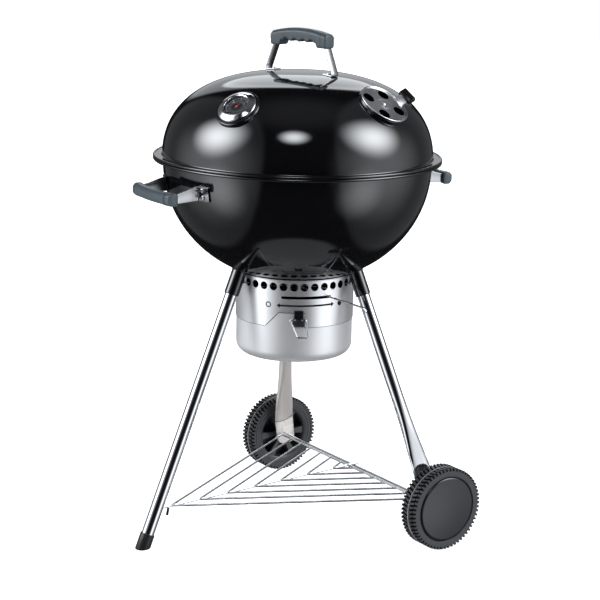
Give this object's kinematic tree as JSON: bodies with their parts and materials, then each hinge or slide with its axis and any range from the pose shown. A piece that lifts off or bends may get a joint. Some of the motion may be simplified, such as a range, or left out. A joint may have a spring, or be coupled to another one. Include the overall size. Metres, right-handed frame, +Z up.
{
  "type": "kettle charcoal grill",
  "caption": "Round charcoal kettle grill with domed lid, tripod legs, two wheels, wire rack and removable ash catcher.",
  "frame": {"origin": "middle of the footprint box, on the floor under the grill", "axes": "+Z up; -Y is the front, with the ash catcher's latch; +X is to the right seen from the front"},
  "size_m": [0.6967, 0.6833, 1.015],
  "materials": {
    "enamel": "gloss black enamel",
    "chrome": "polished",
    "zinc": "brushed, galvanised",
    "steel": "satin",
    "leg_steel": "satin",
    "grip_plastic": "satin blue-grey",
    "wheel_plastic": "satin dark grey",
    "black_plastic": "black",
    "dial_face": "matt dark",
    "lens": "clear",
    "needle_red": "red",
    "grate_wire": "plated wire",
    "grate_steel": "bare steel"
  },
  "bodies": {
    "stand": {"bowl": "enamel", "leg_sockets": "enamel", "front_leg": "chrome", "right_leg": "chrome", "rear_leg": "leg_steel", "foot_cap": "black_plastic", "axle": "chrome", "axle_caps": "steel", "bottom_rack": "grate_wire", "rack_peg": "black_plastic", "ash_ring": "zinc", "ring_hooks": "chrome", "latch_catch": "black_plastic", "left_handle_strap": "chrome", "right_handle_strap": "chrome", "left_grip": "grip_plastic", "right_grip": "grip_plastic", "side_handle_bolts": "steel", "side_handle_nuts": "steel", "grate_brackets": "steel"},
    "vent_sweep": {"vent_blades": "steel", "vent_spindle": "steel", "vent_nut": "steel", "vent_lever": "chrome"},
    "ash_bucket": {"ash_bucket": "zinc", "bucket_latch_plate": "steel"},
    "latch_bail": {"latch_bail": "chrome"},
    "lid": {"lid": "enamel", "lid_handle_strap": "chrome", "lid_grip": "grip_plastic", "lid_handle_screws": "steel", "lid_handle_nuts": "steel", "damper_rivet": "steel", "thermometer_housing": "black_plastic", "thermometer_bezel": "chrome", "thermometer_dial": "dial_face", "thermometer_lens": "lens", "thermometer_probe": "steel", "probe_nut": "steel"},
    "lid_damper": {"damper_disc": "steel", "damper_knob": "black_plastic"},
    "thermometer_needle": {"thermometer_needle": "needle_red"},
    "right_wheel": {"right_wheel": "wheel_plastic", "right_hubcap": "wheel_plastic"},
    "rear_wheel": {"rear_wheel": "wheel_plastic", "rear_hubcap": "wheel_plastic"},
    "charcoal_grate": {"charcoal_grate": "grate_steel"},
    "cooking_grate": {"cooking_grate": "grate_wire"},
    "left_flap": {"left_flap": "grate_wire"},
    "right_flap": {"right_flap": "grate_wire"}
  },
  "joints": [
    {"name": "vent_sweep_turn", "type": "hinge", "parent": "stand", "child": "vent_sweep", "pos_m": [-0.02325, -0.05488, 0.5], "axis": [0, 0, 1], "range_deg": [-45, 0]},
    {"name": "ash_bucket_drop", "type": "slide", "parent": "stand", "child": "ash_bucket", "axis": [0, 0, -1], "range_m": [0, 0.15]},
    {"name": "latch_bail_swing", "type": "hinge", "parent": "ash_bucket", "child": "latch_bail", "pos_m": [-0.02325, -0.18018, 0.454], "axis": [-1, 0, 0], "range_deg": [0, 150]},
    {"name": "lid_lift", "type": "slide", "parent": "stand", "child": "lid", "axis": [0, 0, 1], "range_m": [0, 0.35]},
    {"name": "lid_damper_turn", "type": "hinge", "parent": "lid", "child": "lid_damper", "pos_m": [0.12867, -0.20159, 0.88336], "axis": [0.4267, -0.4121, 0.8051], "range_deg": [-45, 45]},
    {"name": "thermometer_needle_turn", "type": "hinge", "parent": "lid", "child": "thermometer_needle", "pos_m": [-0.15365, -0.23436, 0.88008], "axis": [-0.3768, -0.5186, 0.7675], "range_deg": [-104, 166]},
    {"name": "right_wheel_roll", "type": "hinge", "parent": "stand", "child": "right_wheel", "pos_m": [0.26538, -0.2268, 0.0836], "axis": [-0.5, 0.866, 0], "continuous": true},
    {"name": "rear_wheel_roll", "type": "hinge", "parent": "stand", "child": "rear_wheel", "pos_m": [-0.02782, 0.28103, 0.0836], "axis": [-0.5, 0.866, 0], "continuous": true},
    {"name": "charcoal_grate_lift", "type": "slide", "parent": "stand", "child": "charcoal_grate", "axis": [0, 0, 1], "range_m": [0, 0.09]},
    {"name": "cooking_grate_lift", "type": "slide", "parent": "stand", "child": "cooking_grate", "axis": [0, 0, 1], "range_m": [0, 0.045]},
    {"name": "right_flap_hinge", "type": "hinge", "parent": "cooking_grate", "child": "right_flap", "pos_m": [0.12675, -0.05488, 0.737], "axis": [0, -1, 0], "range_deg": [0, 70]},
    {"name": "left_flap_hinge", "type": "hinge", "parent": "cooking_grate", "child": "left_flap", "pos_m": [-0.17325, -0.05488, 0.737], "axis": [0, 1, 0], "range_deg": [0, 70]}
  ]
}
